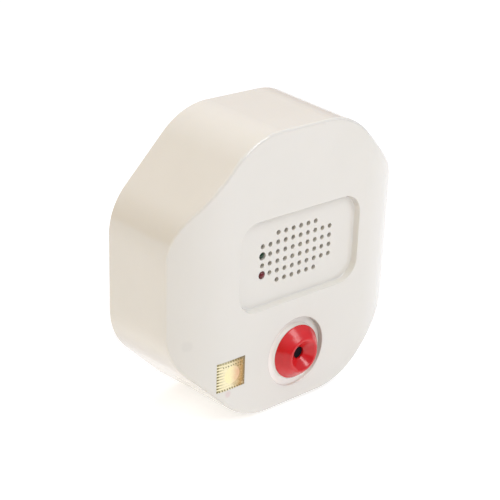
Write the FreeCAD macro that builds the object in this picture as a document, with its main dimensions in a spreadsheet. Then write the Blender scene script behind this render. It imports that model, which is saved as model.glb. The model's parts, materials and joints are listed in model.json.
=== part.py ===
import FreeCAD, Part
import os, math
from FreeCAD import Vector, Rotation, Placement

# Wall-mounted gas leak detector.
# Frame: origin at the middle of the rear (wall) face, +X to the right of a
# person looking at the front, +Z up, the front looks towards -Y.  Sizes in mm.

doc = FreeCAD.newDocument("gas_leak_detector")
sheet = doc.addObject("Spreadsheet::Sheet", "Sizes")

VALUES = [
    # housing outline: octagon with rounded corners, measured at the rear face
    ("half_width", 55.0), ("half_height", 55.0), ("depth", 39.0),
    ("cut_top", 31.6), ("cut_bottom", 30.0),
    ("corner_side", 24.0), ("corner_end", 28.0),
    ("draft_angle", 2.5), ("wall", 2.5), ("front_round", 1.1),
    # the left and right flanks of the front roll back on a large arc
    ("flank_start", 32.0), ("flank_radius", 31.4),
    # sunk panel round the sound grille
    ("panel_x", 0.4), ("panel_z", 5.5), ("panel_half_w", 28.9), ("panel_half_h", 17.0),
    ("panel_corner", 8.3), ("panel_depth", 2.35), ("panel_slope", 0.6), ("panel_side_depth", 1.7),
    ("panel_floor", 2.2), ("panel_margin", 2.6), ("lip_round", 0.35), ("floor_round", 0.6),
    # sound grille
    ("grid_z", 6.3), ("pitch", 3.6), ("hole_radius", 0.95), ("led_hole_radius", 1.5),
    # ring groove round the sensor cap, with an island that carries the cap
    ("cap_z", -33.2), ("seat_radius", 13.4), ("seat_depth", 1.25), ("seat_back", 4.3),
    ("seat_tilt", 3.2), ("seat_deep_side", 35.0),
    ("seat_island", 10.2), ("seat_island_slope", 0.8),
    ("seat_hole_radius", 7.5), ("seat_boss_radius", 15.7),
    # inside supports
    ("cover_post_x", 33.0), ("cover_post_z", 33.0), ("cover_post_radius", 4.0),
    ("board_post_x", 38.0), ("board_post_z", 12.0), ("board_post_radius", 3.0),
    # rear cover
    ("cover_thick", 3.0), ("cover_gap", 0.2),
    ("key_x", 25.0), ("key_z", 18.0), ("key_radius", 4.0), ("key_slot_half", 2.2), ("key_rise", 9.0),
    ("cover_screw_bore", 3.4), ("cover_screw_sink", 1.8), ("cover_screw_clear", 1.7),
    ("cover_pilot", 1.3), ("cover_pilot_depth", 12.0),
    # circuit board
    ("board_back", 24.0), ("board_thick", 1.6), ("board_half", 44.0), ("board_cut", 29.0),
    ("board_hole", 1.7), ("board_pilot", 1.25), ("board_pilot_depth", 8.0),
    # power inlet in the bottom wall
    ("inlet_y", -13.0), ("inlet_boss_radius", 9.0), ("inlet_boss_top", -48.5),
    ("inlet_sink_radius", 6.5), ("inlet_sink_floor", -52.2), ("inlet_hole_radius", 4.1),
    ("inlet_body_radius", 5.5), ("inlet_bush_radius", 4.0), ("inlet_socket_radius", 2.75),
    ("inlet_pin_radius", 1.0), ("inlet_mouth", -54.0), ("inlet_rear", -38.0), ("inlet_socket_end", -43.0),
    ("nut_flats_half", 5.0), ("nut_thick", 1.7), ("wire_radius", 0.7), ("wire_bend", 7.0), ("wire_rise", 14.0),
    # red sensor cap
    ("cap_rim", 10.4), ("cap_edge", 0.3), ("cap_ridge", 6.2), ("cap_rise", 4.4), ("cap_hole", 2.3),
    ("cap_hole_front", 1.5), ("cap_lip", 0.75), ("cap_neck", 7.4), ("cap_neck_end", 34.5), ("cap_neck_bore", 4.6),
    ("filter_radius", 4.5), ("filter_thick", 1.0),
    # gas sensor
    ("sensor_base_radius", 9.5), ("sensor_base_back", 26.6), ("sensor_base_thick", 2.0),
    ("sensor_can_radius", 8.4), ("sensor_can_bore", 7.6), ("sensor_can_front", 33.9),
    ("sensor_gauze_thick", 0.4), ("sensor_pin_ring", 4.75), ("sensor_pin_radius", 0.5),
    ("element_radius", 1.0), ("element_length", 5.0),
    # sounder
    ("sounder_x", 2.0), ("sounder_radius", 12.0), ("sounder_height", 8.4), ("sounder_hole", 1.5),
    # lamps
    ("lamp_radius", 1.45), ("lamp_flange", 1.9), ("lamp_length", 5.2), ("lamp_lead", 0.25),
    # label
    ("label_left", -37.4), ("label_right", -24.9), ("label_bottom", -38.1), ("label_top", -26.7), ("label_thick", 0.12),
    # parts on the board
    ("cap_can_radius", 4.0), ("cap_can_height", 9.4), ("screw_head_radius", 2.6), ("screw_head_high", 1.8), ("screw_shank", 1.15),
    ("cover_head_radius", 3.0), ("cover_head_high", 1.5), ("cover_shank", 1.25), ("cover_shank_long", 9.0),
]
V = {}
for i, (k, v) in enumerate(VALUES, start=1):
    sheet.set("A%d" % i, k)
    sheet.set("B%d" % i, repr(v))
    sheet.setAlias("B%d" % i, k)
    V[k] = v
doc.recompute()


def S(expr):
    """Write a size expression with every alias prefixed by the sheet name."""
    import re
    names = sorted(V, key=len, reverse=True)
    return re.sub(r"(?<![\w.])(" + "|".join(names) + r")(?!\w)", r"Sizes.\1", expr)


def num(expr):
    """Value of a size expression, for starting positions of a sketch."""
    total = doc.addObject("App::FeaturePython", "Scratch")
    total.addProperty("App::PropertyFloat", "Value")
    total.setExpression("Value", S(expr))
    doc.recompute([total])
    val = float(total.Value)
    doc.removeObject(total.Name)
    return val


CACHE = {}


def n(expr):
    if isinstance(expr, (int, float)):
        return float(expr)
    if expr not in CACHE:
        CACHE[expr] = num(expr)
    return CACHE[expr]


def plane(body, role):
    for f in body.Origin.OriginFeatures:
        if f.Role == role:
            return f


def sketch(body, role, name, offset=None):
    sk = body.newObject("Sketcher::SketchObject", name)
    sk.AttachmentSupport = [(plane(body, role), "")]
    sk.MapMode = "FlatFace"
    if offset is not None:
        sk.AttachmentOffset = Placement(Vector(0, 0, n(offset)), Rotation())
        sk.setExpression("AttachmentOffset.Base.z", S(str(offset)))
    return sk


import Sketcher


def fix_point(sk, geo, pos, ex, ey, tag):
    for word, axis, e in (("DistanceX", "x", ex), ("DistanceY", "y", ey)):
        c = sk.addConstraint(Sketcher.Constraint(word, -1, 1, geo, pos, n(e)))
        sk.renameConstraint(c, tag + axis)
        if not isinstance(e, (int, float)):
            sk.setExpression("Constraints." + tag + axis, S(e))


def loop(sk, pts, tag="p"):
    """Closed polygon, each corner held by its own two distances."""
    first = sk.GeometryCount
    m = len(pts)
    co = [(n(a), n(b)) for a, b in pts]
    for k in range(m):
        a, b = co[k], co[(k + 1) % m]
        sk.addGeometry(Part.LineSegment(Vector(a[0], a[1], 0), Vector(b[0], b[1], 0)), False)
    for k in range(m):
        sk.addConstraint(Sketcher.Constraint("Coincident", first + k, 2, first + (k + 1) % m, 1))
    for k in range(m):
        fix_point(sk, first + k, 1, pts[k][0], pts[k][1], "%s%d" % (tag, k))


def circle(sk, ex, ey, er, tag):
    g = sk.addGeometry(Part.Circle(Vector(n(ex), n(ey), 0), Vector(0, 0, 1), n(er)), False)
    c = sk.addConstraint(Sketcher.Constraint("Radius", g, n(er)))
    sk.renameConstraint(c, tag + "r")
    sk.setExpression("Constraints." + tag + "r", S(er))
    fix_point(sk, g, 3, ex, ey, tag)


def turning_axis(sk):
    """Construction line along the cap's axis, for turned shapes."""
    axis = sk.addGeometry(Part.LineSegment(Vector(-60, V["cap_z"], 0), Vector(-20, V["cap_z"], 0)), True)
    sk.addConstraint(Sketcher.Constraint("Horizontal", axis))
    fix_point(sk, axis, 1, -60.0, "cap_z", "axis")
    sk.addConstraint(Sketcher.Constraint("DistanceX", axis, 1, axis, 2, 40.0))


def pad(body, sk, length, name, reverse=False, taper=None):
    f = body.newObject("PartDesign::Pad", name)
    f.Profile = sk
    f.Length = n(length)
    f.setExpression("Length", S(str(length)))
    f.Reversed = reverse
    if taper:
        f.TaperAngle = n(taper)
        f.setExpression("TaperAngle", S(taper))
    body.Tip = f
    doc.recompute()
    return f


def pocket(body, sk, length, name, reverse=False, taper=None, sym=False):
    f = body.newObject("PartDesign::Pocket", name)
    f.Profile = sk
    f.Length = n(length)
    f.setExpression("Length", S(str(length)))
    f.Reversed = reverse
    if sym:
        f.Midplane = True
    if taper:
        f.TaperAngle = n(taper)
        f.setExpression("TaperAngle", S(taper))
    before = f.BaseFeature.Shape.Volume if f.BaseFeature else 0.0
    body.Tip = f
    doc.recompute()
    if f.Shape.isNull() or not f.Shape.Volume < before - 1e-3:
        raise RuntimeError("pocket %s removes nothing" % name)
    return f


def round_edges(body, base, names, radius, label):
    f = body.newObject("PartDesign::Fillet", label)
    f.Base = (base, names)
    f.Radius = n(radius)
    f.setExpression("Radius", S(str(radius)))
    body.Tip = f
    doc.recompute()
    if "Invalid" in f.State or f.Shape.isNull():
        raise RuntimeError("rounding %s failed" % label)
    return f


def octagon(w, h, ct, cb):
    """Corners of the outline, going round from the lower right."""
    return [(w, "-(%s)+(%s)" % (h, cb)), (w, "(%s)-(%s)" % (h, ct)), ("(%s)-(%s)" % (w, ct), h),
            ("-(%s)+(%s)" % (w, ct), h), ("-(%s)" % w, "(%s)-(%s)" % (h, ct)),
            ("-(%s)" % w, "-(%s)+(%s)" % (h, cb)), ("-(%s)+(%s)" % (w, cb), "-(%s)" % h),
            ("(%s)-(%s)" % (w, cb), "-(%s)" % h)]


def y_span(shape):
    ys = [v.Point.y for v in shape.Vertexes]
    return max(ys) - min(ys)


def corner_edges(shape, side):
    """Names of the long corner edges, at the sides or at the two ends."""
    out = []
    span = 0.9 * y_span(shape)
    for k, e in enumerate(shape.Edges, start=1):
        a, b = e.Vertexes[0].Point, e.Vertexes[-1].Point
        if abs(a.y - b.y) > span:
            mid = (a + b) * 0.5
            if (abs(mid.x) > abs(mid.z)) == side:
                out.append("Edge%d" % k)
    return out


def flank_cut(body, name, reach, front, start, radius):
    """Removes the front outside the flank arcs, left and right."""
    sk = sketch(body, "XY_Plane", name + "Sketch")
    for s, tag in ((1, "r"), (-1, "l")):
        sg = "" if s > 0 else "-"
        cx, cy = "%s(%s)" % (sg, start), "-(%s)+(%s)" % (front, radius)
        x0, y0, r = n(cx), n(cy), n(radius)
        far = s * reach
        yb = y0 - math.sqrt(r * r - (far - x0) ** 2)
        first = sk.GeometryCount
        a0, a1 = math.atan2(-r, 0.0), math.atan2(yb - y0, far - x0)
        lo, hi = (a0, a1) if s > 0 else (a1, a0)
        sk.addGeometry(Part.ArcOfCircle(Part.Circle(Vector(x0, y0, 0), Vector(0, 0, 1), r), lo, hi), False)
        tip, root = (2, 1) if s > 0 else (1, 2)
        sk.addGeometry(Part.LineSegment(Vector(far, yb, 0), Vector(far, -60, 0)), False)
        sk.addGeometry(Part.LineSegment(Vector(far, -60, 0), Vector(x0, -60, 0)), False)
        sk.addGeometry(Part.LineSegment(Vector(x0, -60, 0), Vector(x0, y0 - r, 0)), False)
        sk.addConstraint(Sketcher.Constraint("Coincident", first, tip, first + 1, 1))
        sk.addConstraint(Sketcher.Constraint("Coincident", first + 1, 2, first + 2, 1))
        sk.addConstraint(Sketcher.Constraint("Coincident", first + 2, 2, first + 3, 1))
        sk.addConstraint(Sketcher.Constraint("Coincident", first + 3, 2, first, root))
        c = sk.addConstraint(Sketcher.Constraint("Radius", first, r))
        sk.renameConstraint(c, tag + "rad")
        sk.setExpression("Constraints." + tag + "rad", S(radius))
        fix_point(sk, first, 3, cx, cy, tag + "c")
        sk.addConstraint(Sketcher.Constraint("Vertical", first + 1))
        sk.addConstraint(Sketcher.Constraint("Vertical", first + 3))
        fix_point(sk, first + 1, 2, float(far), -60.0, tag + "f")
        fix_point(sk, first + 2, 2, cx, -60.0, tag + "e")
    return pocket(body, sk, 200.0, name, sym=True)


def octagon_body(label, inset, front, radius_side):
    """Drafted octagonal block from the rear plane to the front surface."""
    body = doc.addObject("PartDesign::Body", label)
    body.Label = label
    sk = sketch(body, "XZ_Plane", label + "_outline")
    k = "%s*(2-sqrt(2))" % inset
    loop(sk, octagon("half_width-%s" % inset, "half_height-%s" % inset, "cut_top-" + k, "cut_bottom-" + k))
    base = pad(body, sk, front, label + "_block", taper="-1*draft_angle")
    side = round_edges(body, base, corner_edges(base.Shape, True), radius_side, label + "_side_corners")
    return body, side


def ends_only(shape):
    """Names of the sharp corner edges that are left after the side ones."""
    out = []
    span = 0.9 * y_span(shape)
    for k, e in enumerate(shape.Edges, start=1):
        a, b = e.Vertexes[0].Point, e.Vertexes[-1].Point
        if abs(a.y - b.y) > span and abs(a.z) > abs(a.x):
            fs = shape.ancestorsOfType(e, Part.Face)
            nn = [f.normalAt(*f.Surface.parameter((a + b) * 0.5)) for f in fs]
            if nn[0].dot(nn[1]) < 0.9:
                out.append("Edge%d" % k)
    return out


def shell_block(label, inset, front, radius_side, radius_end, start, radius):
    body, top = octagon_body(label, inset, front, radius_side)
    top = round_edges(body, top, ends_only(top.Shape), radius_end, label + "_end_corners")
    top = flank_cut(body, label + "_flanks", 58.0, front, start, radius)
    return body, top


# ------------------------------------------------------------------ housing
hollow, hollow_top = shell_block("housing_hollow", "wall", "depth-wall", "corner_side-wall", "corner_end-wall",
                                 "flank_start", "flank_radius-wall")
housing, top = shell_block("front_housing", "0", "depth", "corner_side", "corner_end", "flank_start", "flank_radius")

# soft edge all round the front
front_faces = []
for f in top.Shape.Faces:
    s = str(type(f.Surface))
    if "Plane" in s and abs(abs(f.normalAt(0, 0).y) - 1) < 1e-6 and f.BoundBox.YMax < -30:
        front_faces.append(f)
    elif "Cylinder" in s and abs(f.Surface.Radius - V["flank_radius"]) < 1e-4 and abs(abs(f.Surface.Axis.z) - 1) < 1e-6:
        front_faces.append(f)
rim = []
for k, e in enumerate(top.Shape.Edges, start=1):
    cnt = sum(1 for f in front_faces if any(e.isSame(g) for g in f.Edges))
    if cnt == 1:
        rim.append("Edge%d" % k)
top = round_edges(housing, top, rim, "front_round", "front_edge")

cutter = housing.newObject("PartDesign::Boolean", "hollowing")
cutter.Type = "Cut"
cutter.setObjects([hollow])
housing.Tip = cutter
doc.recompute()

# thicker floor behind the sunk panel and behind the cap seat
sk = sketch(housing, "XZ_Plane", "panel_back_sketch", "depth-panel_depth-panel_floor")
loop(sk, [("panel_x-panel_half_w-panel_margin", "panel_z-panel_half_h-panel_margin"),
          ("panel_x+panel_half_w+panel_margin", "panel_z-panel_half_h-panel_margin"),
          ("panel_x+panel_half_w+panel_margin", "panel_z+panel_half_h+panel_margin"),
          ("panel_x-panel_half_w-panel_margin", "panel_z+panel_half_h+panel_margin")])
pad(housing, sk, "panel_depth+panel_floor-wall+0.4", "panel_back")
sk = sketch(housing, "XZ_Plane", "seat_back_sketch", "depth-seat_back")
circle(sk, 0.0, "cap_z", "seat_boss_radius", "a")
pad(housing, sk, "seat_back-wall+0.4", "seat_boss")

# posts for the rear cover and for the board
sk = sketch(housing, "XZ_Plane", "cover_posts_sketch", "cover_thick")
for i, (sx, sz) in enumerate(((1, 1), (-1, 1), (-1, -1), (1, -1))):
    circle(sk, "%d*cover_post_x" % sx, "%d*cover_post_z" % sz, "cover_post_radius", "a%d" % i)
pad(housing, sk, "depth-cover_thick-wall-0.5+1.0", "cover_posts")
sk = sketch(housing, "XZ_Plane", "board_posts_sketch", "board_back+board_thick")
for i, (sx, sz) in enumerate(((1, 1), (-1, 1), (-1, -1), (1, -1))):
    circle(sk, "%d*board_post_x" % sx, "%d*board_post_z" % sz, "board_post_radius", "a%d" % i)
pad(housing, sk, "depth-board_back-board_thick-wall-0.3", "board_posts")
sk = sketch(housing, "XZ_Plane", "cover_pilot_sketch", "cover_thick")
for i, (sx, sz) in enumerate(((1, 1), (-1, 1), (-1, -1), (1, -1))):
    circle(sk, "%d*cover_post_x" % sx, "%d*cover_post_z" % sz, "cover_pilot", "a%d" % i)
pocket(housing, sk, "cover_pilot_depth", "cover_pilots", reverse=True)
sk = sketch(housing, "XZ_Plane", "board_pilot_sketch", "board_back+board_thick")
for i, (sx, sz) in enumerate(((1, 1), (-1, 1), (-1, -1), (1, -1))):
    circle(sk, "%d*board_post_x" % sx, "%d*board_post_z" % sz, "board_pilot", "a%d" % i)
pocket(housing, sk, "board_pilot_depth", "board_pilots", reverse=True)

# power inlet boss, sunk seat and hole in the bottom wall
sk = sketch(housing, "XY_Plane", "inlet_boss_sketch", "inlet_boss_top")
circle(sk, 0.0, "inlet_y", "inlet_boss_radius", "a")
pad(housing, sk, "half_height+inlet_boss_top-wall+0.4", "inlet_boss", reverse=True)
sk = sketch(housing, "XY_Plane", "inlet_sink_sketch", "-1*half_height-5")
circle(sk, 0.0, "inlet_y", "inlet_sink_radius", "a")
pocket(housing, sk, "half_height+5+inlet_sink_floor", "inlet_sink", reverse=True)
sk = sketch(housing, "XY_Plane", "inlet_hole_sketch", "-1*half_height-5")
circle(sk, 0.0, "inlet_y", "inlet_hole_radius", "a")
pocket(housing, sk, "half_height+5+inlet_boss_top+2", "inlet_hole", reverse=True)

# sunk panel: straight sides first, corners rounded, then the sides sloped
sk = sketch(housing, "XZ_Plane", "panel_sketch", "depth")
L, R_, B, T = ("panel_x-panel_half_w+panel_slope", "panel_x+panel_half_w-panel_slope",
               "panel_z-panel_half_h+panel_slope", "panel_z+panel_half_h-panel_slope")
loop(sk, [(L, B), (R_, B), (R_, T), (L, T)])
panel = pocket(housing, sk, "panel_depth", "panel")


def edges_where(shape, test):
    return ["Edge%d" % k for k, e in enumerate(shape.Edges, start=1) if test(e)]


def near_panel(c, spare):
    return abs(c.x - V["panel_x"]) < V["panel_half_w"] + spare and abs(c.z - V["panel_z"]) < V["panel_half_h"] + spare


def is_panel_corner(e):
    if len(e.Vertexes) < 2:
        return False
    a, b = e.Vertexes[0].Point, e.Vertexes[-1].Point
    return abs(abs(a.y - b.y) - V["panel_depth"]) < 1e-3 and (a + b).y * 0.5 < -V["depth"] + V["panel_depth"] and near_panel(a, 0.0)


def on_front(e):
    return all(abs(v.Point.y + V["depth"]) < 1e-4 for v in e.Vertexes)


def on_panel_floor(e):
    return all(abs(v.Point.y + V["depth"] - V["panel_depth"]) < 1e-4 and near_panel(v.Point, 0.0) for v in e.Vertexes)


top = round_edges(housing, panel, edges_where(panel.Shape, is_panel_corner), "panel_corner-panel_slope", "panel_corners")
top = round_edges(housing, top, edges_where(top.Shape, on_panel_floor), "floor_round", "panel_floor_round")
cf = housing.newObject("PartDesign::Chamfer", "panel_sides")
cf.Base = (top, edges_where(top.Shape, lambda e: on_front(e) and near_panel(e.Vertexes[0].Point, 0.5)))
cf.ChamferType = 1
cf.Size = V["panel_slope"]
cf.Size2 = V["panel_side_depth"]
cf.setExpression("Size", S("panel_slope"))
cf.setExpression("Size2", S("panel_side_depth"))
housing.Tip = cf
doc.recompute()


def widest_on_front(shape):
    xs = [v.Point.x for v in shape.Vertexes if abs(v.Point.y + V["depth"]) < 1e-4 and near_panel(v.Point, 1.0)]
    return max(xs) - min(xs) if xs else 0.0


if abs(widest_on_front(cf.Shape) - 2 * V["panel_half_w"]) > 0.01:
    cf.FlipDirection = True
    doc.recompute()
if "Invalid" in cf.State or abs(widest_on_front(cf.Shape) - 2 * V["panel_half_w"]) > 0.01:
    raise RuntimeError("sides of the panel: %r" % widest_on_front(cf.Shape))

# ring groove round the cap: turned, its axis leaning a little, so that it is deeper on the upper right
# and nearly runs out on the lower left
sk = housing.newObject("Sketcher::SketchObject", "seat_groove_sketch")
side = math.radians(V["seat_deep_side"])
lean = Rotation(FreeCAD.Matrix(0, math.cos(side), math.sin(side), 0, 1, 0, 0, 0, 0, math.sin(side), -math.cos(side), 0, 0, 0, 0, 1))
sk.Placement = Placement(Vector(0, -V["depth"], V["cap_z"]), lean.multiply(Rotation(Vector(0, 0, 1), -V["seat_tilt"])))
loop(sk, [(-1.8, "seat_radius"), ("seat_depth", "seat_radius"), ("seat_depth", "seat_island+seat_island_slope"),
          (0.0, "seat_island"), (-1.8, "seat_island")])
axis = sk.addGeometry(Part.LineSegment(Vector(-20, 0, 0), Vector(20, 0, 0)), True)
sk.addConstraint(Sketcher.Constraint("Horizontal", axis))
fix_point(sk, axis, 1, -20.0, 0.0, "axis")
sk.addConstraint(Sketcher.Constraint("DistanceX", axis, 1, axis, 2, 40.0))
groove = housing.newObject("PartDesign::Groove", "seat_groove")
groove.Profile = sk
groove.ReferenceAxis = (sk, ["Axis0"])
groove.Angle = 360
before = groove.BaseFeature.Shape.Volume
housing.Tip = groove
doc.recompute()
ring_volume = before - groove.Shape.Volume
if not 200 < ring_volume < 500:
    raise RuntimeError("groove round the cap removes %r" % ring_volume)

# hole of the sensor
sk = sketch(housing, "XZ_Plane", "seat_hole_sketch", "depth")
circle(sk, 0.0, "cap_z", "seat_hole_radius", "a")
top = pocket(housing, sk, "seat_back+1", "seat_hole")


def is_lip(e):
    if not on_front(e):
        return False
    v = e.Vertexes[0].Point
    seat = abs((v - Vector(0, v.y, V["cap_z"])).Length - V["seat_radius"]) < 0.06
    return near_panel(v, 0.5) or seat


top = round_edges(housing, top, edges_where(top.Shape, is_lip), "lip_round", "lips")

# grille: four long rows and two short rows, one column sketched and repeated
for name, col, rows, count in (("grille_long", 1, (2, 3, 4, 5), 10), ("grille_short", 3, (1, 6), 6)):
    sk = sketch(housing, "XZ_Plane", name + "_sketch", "depth-panel_depth+0.5")
    for i, rw in enumerate(rows):
        circle(sk, "(%d-5.5)*pitch" % col, "grid_z+(3.5-%d)*pitch" % rw, "hole_radius", "a%d" % i)
    p0 = pocket(housing, sk, "panel_floor+1", name)
    lp = housing.newObject("PartDesign::LinearPattern", name + "_row")
    lp.Originals = [p0]
    lp.Direction = (sk, ["H_Axis"])
    lp.Length = n("%d*pitch" % (count - 1))
    lp.setExpression("Length", S("%d*pitch" % (count - 1)))
    lp.Occurrences = count
    housing.Tip = lp
    doc.recompute()
sk = sketch(housing, "XZ_Plane", "lamp_holes_sketch", "depth-panel_depth+0.5")
circle(sk, "-4.5*pitch", "grid_z+0.5*pitch", "led_hole_radius", "a")
circle(sk, "-4.5*pitch", "grid_z-1.5*pitch", "led_hole_radius", "b")
pocket(housing, sk, "panel_floor+1", "lamp_holes")

# --------------------------------------------------------------- rear cover
cover = doc.addObject("PartDesign::Body", "back_cover")
cover.Label = "back_cover"
sk = sketch(cover, "XZ_Plane", "cover_outline")
k = "(wall+cover_gap)*(2-sqrt(2))"
loop(sk, octagon("half_width-wall-cover_gap", "half_height-wall-cover_gap", "cut_top-" + k, "cut_bottom-" + k))
f = pad(cover, sk, "cover_thick", "cover_plate")
f = round_edges(cover, f, corner_edges(f.Shape, True), "corner_side-wall-cover_gap", "cover_side_corners")
f = round_edges(cover, f, ends_only(f.Shape), "corner_end-wall-cover_gap", "cover_end_corners")
sk = sketch(cover, "XZ_Plane", "cover_sink_sketch")
for i, (sx, sz) in enumerate(((1, 1), (-1, 1), (-1, -1), (1, -1))):
    circle(sk, "%d*cover_post_x" % sx, "%d*cover_post_z" % sz, "cover_screw_bore", "a%d" % i)
pocket(cover, sk, "cover_screw_sink", "cover_sinks", reverse=True)
sk = sketch(cover, "XZ_Plane", "cover_holes_sketch")
for i, (sx, sz) in enumerate(((1, 1), (-1, 1), (-1, -1), (1, -1))):
    circle(sk, "%d*cover_post_x" % sx, "%d*cover_post_z" % sz, "cover_screw_clear", "a%d" % i)
pocket(cover, sk, "cover_thick+1", "cover_holes", reverse=True)
sk = sketch(cover, "XZ_Plane", "key_entry_sketch")
circle(sk, "key_x", "key_z", "key_radius", "a")
circle(sk, "-1*key_x", "key_z", "key_radius", "b")
pocket(cover, sk, "cover_thick+1", "key_entries", reverse=True)
sk = sketch(cover, "XZ_Plane", "key_slot_sketch")
for tag, sg in (("a", 1), ("b", -1)):
    loop(sk, [("%d*key_x-key_slot_half" % sg, "key_z"), ("%d*key_x+key_slot_half" % sg, "key_z"),
              ("%d*key_x+key_slot_half" % sg, "key_z+key_rise"), ("%d*key_x-key_slot_half" % sg, "key_z+key_rise")], tag)
pocket(cover, sk, "cover_thick+1", "key_slots", reverse=True)
sk = sketch(cover, "XZ_Plane", "key_end_sketch")
circle(sk, "key_x", "key_z+key_rise", "key_slot_half", "a")
circle(sk, "-1*key_x", "key_z+key_rise", "key_slot_half", "b")
pocket(cover, sk, "cover_thick+1", "key_ends", reverse=True)

# -------------------------------------------------------------- main board
board = doc.addObject("PartDesign::Body", "main_board")
board.Label = "main_board"
sk = sketch(board, "XZ_Plane", "board_outline", "board_back")
loop(sk, octagon("board_half", "board_half", "board_cut", "board_cut"))
pad(board, sk, "board_thick", "board_plate")
sk = sketch(board, "XZ_Plane", "board_holes_sketch", "board_back")
for i, (sx, sz) in enumerate(((1, 1), (-1, 1), (-1, -1), (1, -1))):
    circle(sk, "%d*board_post_x" % sx, "%d*board_post_z" % sz, "board_hole", "a%d" % i)
pocket(board, sk, "board_thick+1", "board_holes", reverse=True)

# -------------------------------------------------------------- sensor cap
capb = doc.addObject("PartDesign::Body", "sensor_cap")
capb.Label = "sensor_cap"
sk = sketch(capb, "YZ_Plane", "cap_profile")
prof = [("-1*depth", "cap_z+cap_rim"), ("-1*depth-cap_edge", "cap_z+cap_rim"),
        ("-1*depth-0.56*cap_rise", "cap_z+cap_ridge+0.58*(cap_rim-cap_ridge)"),
        ("-1*depth-cap_rise", "cap_z+cap_ridge+0.4"), ("-1*depth-cap_rise", "cap_z+cap_ridge-0.4"),
        ("-1*depth-cap_hole_front", "cap_z+cap_hole"), ("-1*depth-cap_hole_front+cap_lip", "cap_z+cap_hole"),
        ("-1*depth-cap_hole_front+cap_lip", "cap_z+cap_neck_bore"), ("-1*cap_neck_end", "cap_z+cap_neck_bore"),
        ("-1*cap_neck_end", "cap_z+cap_neck"), ("-1*depth", "cap_z+cap_neck")]
loop(sk, prof)
turning_axis(sk)
rev = capb.newObject("PartDesign::Revolution", "cap_turn")
rev.Profile = sk
rev.ReferenceAxis = (sk, ["Axis0"])
rev.Angle = 360
capb.Tip = rev
doc.recompute()


def ring_edges(shape, y, r, tol=0.05):
    out = []
    for k, e in enumerate(shape.Edges, start=1):
        if hasattr(e.Curve, "Radius") and abs(e.Curve.Radius - r) < tol and abs(e.Curve.Center.y - y) < tol:
            out.append("Edge%d" % k)
    return out


sh0 = rev.Shape
mid_r = V["cap_ridge"] + 0.58 * (V["cap_rim"] - V["cap_ridge"])
names = ring_edges(sh0, -V["depth"] - 0.56 * V["cap_rise"], mid_r)
f = round_edges(capb, rev, names, 3.5, "cap_shoulder")
names = ring_edges(f.Shape, -V["depth"] - V["cap_rise"], V["cap_ridge"] + 0.4) + ring_edges(f.Shape, -V["depth"] - V["cap_rise"], V["cap_ridge"] - 0.4)
f = round_edges(capb, f, names, 0.9, "cap_ridge_round")
names = ring_edges(f.Shape, -V["depth"] - V["cap_edge"], V["cap_rim"])
f = round_edges(capb, f, names, 0.3, "cap_rim_round")
names = ring_edges(f.Shape, -V["depth"] - V["cap_hole_front"], V["cap_hole"])
f = round_edges(capb, f, names, 0.25, "cap_hole_round")

# ------------------------------------------------------- simple turned parts
ALONG_Y = Rotation(Vector(1, 0, 0), 90)      # a cylinder's height goes to -Y
ALONG_Z = Rotation()


def place(o, x, y, z, rot=ALONG_Z):
    o.Placement = Placement(Vector(n(x), n(y), n(z)), rot)
    for ax, e in (("x", x), ("y", y), ("z", z)):
        o.setExpression("Placement.Base." + ax, S(str(e)))


def cyl(name, r, h, x, y, z, rot=ALONG_Y):
    o = doc.addObject("Part::Cylinder", name)
    o.Radius, o.Height = n(r), n(h)
    o.setExpression("Radius", S(str(r)))
    o.setExpression("Height", S(str(h)))
    place(o, x, y, z, rot)
    return o


def box(name, dx, dy, dz, x, y, z):
    o = doc.addObject("Part::Box", name)
    for prop, e in (("Length", dx), ("Width", dy), ("Height", dz)):
        setattr(o, prop, n(e))
        o.setExpression(prop, S(str(e)))
    place(o, x, y, z)
    return o


def fuse(name, items):
    o = doc.addObject("Part::MultiFuse", name)
    o.Shapes = items
    o.Refine = True
    return o


def cut(name, a, b):
    o = doc.addObject("Part::Cut", name)
    o.Base, o.Tool = a, b
    return o


def group(name, items):
    o = doc.addObject("Part::Compound", name)
    o.Links = items
    return o


FRONT_OF_BOARD = "-1*board_back-board_thick"
four = ((1, 1), (-1, 1), (-1, -1), (1, -1))

# screws of the rear cover: cross-slotted heads sunk in the cover
items = []
for i, (sx, sz) in enumerate(four):
    x, z = "%d*cover_post_x" % sx, "%d*cover_post_z" % sz
    head = cyl("cs_head%d" % i, "cover_head_radius", "cover_head_high", x, "-1*cover_screw_sink+cover_head_high", z)
    shank = cyl("cs_shank%d" % i, "cover_shank", "cover_shank_long", x, "-1*cover_screw_sink", z)
    s1 = box("cs_slot_a%d" % i, 3.4, 0.8, 0.7, x + "-1.7", "-1*cover_screw_sink+cover_head_high-0.8", z + "-0.35")
    s2 = box("cs_slot_b%d" % i, 0.7, 0.8, 3.4, x + "-0.35", "-1*cover_screw_sink+cover_head_high-0.8", z + "-1.7")
    items.append(cut("cover_screw%d" % i, fuse("cs_blank%d" % i, [head, shank]), fuse("cs_cross%d" % i, [s1, s2])))
cover_screws = group("cover_screws", items)

items = []
for i, (sx, sz) in enumerate(four):
    x, z = "%d*board_post_x" % sx, "%d*board_post_z" % sz
    head = cyl("bs_head%d" % i, "screw_head_radius", "screw_head_high", x, "-1*board_back+screw_head_high", z)
    shank = cyl("bs_shank%d" % i, "screw_shank", "board_thick+6", x, "-1*board_back", z)
    s1 = box("bs_slot_a%d" % i, 3.0, 0.8, 0.6, x + "-1.5", "-1*board_back+screw_head_high-0.8", z + "-0.3")
    s2 = box("bs_slot_b%d" % i, 0.6, 0.8, 3.0, x + "-0.3", "-1*board_back+screw_head_high-0.8", z + "-1.5")
    items.append(cut("board_screw%d" % i, fuse("bs_blank%d" % i, [head, shank]), fuse("bs_cross%d" % i, [s1, s2])))
board_screws = group("board_screws", items)

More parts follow.
